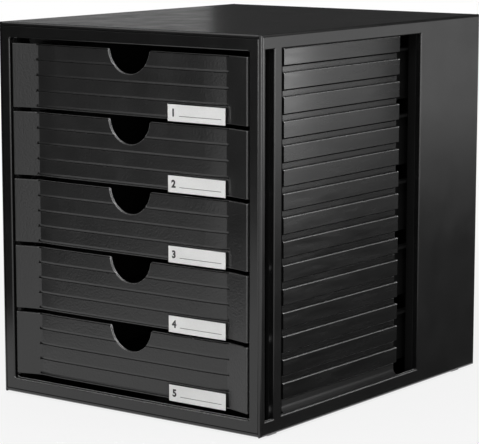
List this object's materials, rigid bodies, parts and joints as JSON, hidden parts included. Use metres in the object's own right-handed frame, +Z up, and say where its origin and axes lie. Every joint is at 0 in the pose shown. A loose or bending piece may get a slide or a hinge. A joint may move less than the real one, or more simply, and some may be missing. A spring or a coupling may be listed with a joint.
{
  "type": "desktop drawer organizer",
  "caption": "Closed desktop drawer box for office paper: dark casing with ribbed side inserts and a stack of pull-out trays, each with a finger notch and a label holder.",
  "frame": {"origin": "on the table top, under the middle of the casing", "axes": "+Z up, +Y from the drawers to the back, +X to the right of someone who faces the drawers"},
  "size_m": [0.275, 0.33, 0.32],
  "materials": {
    "casing_plastic": "satin, finely grained, moulded",
    "runner_plastic": "satin, moulded",
    "drawer_plastic": "satin, finely grained, moulded",
    "clear_holder": "clear, polished",
    "label_card": "uncoated white card",
    "foot_rubber": "soft, matt"
  },
  "bodies": {
    "casing": {"top_panel": "casing_plastic", "base_panel": "casing_plastic", "left_side_panel": "casing_plastic", "right_side_panel": "casing_plastic", "front_frame": "casing_plastic", "back_panel": "casing_plastic", "left_runner_panel": "runner_plastic", "right_runner_panel": "runner_plastic", "foot_front_left": "foot_rubber", "foot_front_right": "foot_rubber", "foot_rear_left": "foot_rubber", "foot_rear_right": "foot_rubber"},
    "drawer_1": {"drawer_tray_1": "drawer_plastic", "label_holder_1": "clear_holder", "label_card_1": "label_card"},
    "drawer_2": {"drawer_tray_2": "drawer_plastic", "label_holder_2": "clear_holder", "label_card_2": "label_card"},
    "drawer_3": {"drawer_tray_3": "drawer_plastic", "label_holder_3": "clear_holder", "label_card_3": "label_card"},
    "drawer_4": {"drawer_tray_4": "drawer_plastic", "label_holder_4": "clear_holder", "label_card_4": "label_card"},
    "drawer_5": {"drawer_tray_5": "drawer_plastic", "label_holder_5": "clear_holder", "label_card_5": "label_card"}
  },
  "joints": [
    {"name": "drawer_1_slide", "type": "slide", "parent": "casing", "child": "drawer_1", "axis": [0, -1, 0], "range_m": [0, 0.245]},
    {"name": "drawer_2_slide", "type": "slide", "parent": "casing", "child": "drawer_2", "axis": [0, -1, 0], "range_m": [0, 0.245]},
    {"name": "drawer_3_slide", "type": "slide", "parent": "casing", "child": "drawer_3", "axis": [0, -1, 0], "range_m": [0, 0.245]},
    {"name": "drawer_4_slide", "type": "slide", "parent": "casing", "child": "drawer_4", "axis": [0, -1, 0], "range_m": [0, 0.245]},
    {"name": "drawer_5_slide", "type": "slide", "parent": "casing", "child": "drawer_5", "axis": [0, -1, 0], "range_m": [0, 0.245]}
  ]
}
